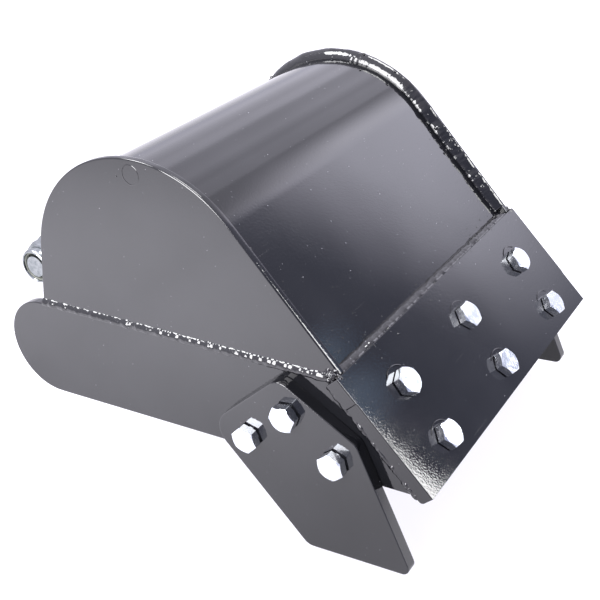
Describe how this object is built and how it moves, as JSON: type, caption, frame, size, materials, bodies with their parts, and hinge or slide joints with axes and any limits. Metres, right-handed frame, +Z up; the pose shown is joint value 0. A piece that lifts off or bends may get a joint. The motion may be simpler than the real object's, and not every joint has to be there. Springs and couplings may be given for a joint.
{
  "type": "excavator bucket",
  "caption": "Small welded digging bucket with a rolled shell, bolted side cutters, a bolted lip plate and pin-on ears",
  "frame": {"origin": "centre of the link pin bore, midway between the ears", "axes": "+X along the pin bores, across the bucket; +Z up as the bucket stands mouth down on its side cutters and side bars; +Y back, from the lip towards the ears"},
  "size_m": [0.341, 0.451, 0.251],
  "materials": {
    "black_paint": "high gloss black enamel over plate and welds",
    "zinc_steel": "bright zinc plated",
    "bush_steel": "machined steel",
    "nylon": "natural nylon"
  },
  "bodies": {
    "bucket": {"bar_weld_left": "black_paint", "bar_weld_right": "black_paint", "cutter_bolt_left_1": "zinc_steel", "cutter_bolt_left_2": "zinc_steel", "cutter_bolt_left_3": "zinc_steel", "cutter_bolt_right_1": "zinc_steel", "cutter_bolt_right_2": "zinc_steel", "cutter_bolt_right_3": "zinc_steel", "cutter_nut_left_1": "zinc_steel", "cutter_nut_left_2": "zinc_steel", "cutter_nut_left_3": "zinc_steel", "cutter_nut_right_1": "zinc_steel", "cutter_nut_right_2": "zinc_steel", "cutter_nut_right_3": "zinc_steel", "cutter_washers_left": "zinc_steel", "cutter_washers_right": "zinc_steel", "ear_left": "black_paint", "ear_right": "black_paint", "ear_weld_left": "black_paint", "ear_weld_right": "black_paint", "edge_weld_left": "black_paint", "edge_weld_right": "black_paint", "link_bush_left": "bush_steel", "link_bush_right": "bush_steel", "lip_bar_weld_left": "black_paint", "lip_bar_weld_right": "black_paint", "lip_bolt_1": "zinc_steel", "lip_bolt_2": "zinc_steel", "lip_bolt_3": "zinc_steel", "lip_bolt_4": "zinc_steel", "lip_bolt_5": "zinc_steel", "lip_bolt_6": "zinc_steel", "lip_nut_1": "zinc_steel", "lip_nut_2": "zinc_steel", "lip_nut_3": "zinc_steel", "lip_nut_4": "zinc_steel", "lip_nut_5": "zinc_steel", "lip_nut_6": "zinc_steel", "lip_plate": "black_paint", "lip_washers": "zinc_steel", "lip_weld": "black_paint", "side_bar_left": "black_paint", "side_bar_right": "black_paint", "side_cutter_left": "black_paint", "side_cutter_right": "black_paint", "side_plate_left": "black_paint", "side_plate_right": "black_paint", "stick_bush_left": "bush_steel", "stick_bush_right": "bush_steel", "wear_blade": "black_paint", "wrapper": "black_paint"},
    "stick_pin": {"stick_pin_bolt": "zinc_steel", "stick_pin_insert": "nylon", "stick_pin_nut": "zinc_steel", "stick_pin_washer_left": "zinc_steel", "stick_pin_washer_right": "zinc_steel"}
  },
  "joints": [
    {"name": "stick_pivot", "type": "hinge", "parent": "bucket", "child": "stick_pin", "pos_m": [0, 0.04322, -0.06732], "axis": [1, 0, 0], "continuous": true}
  ]
}
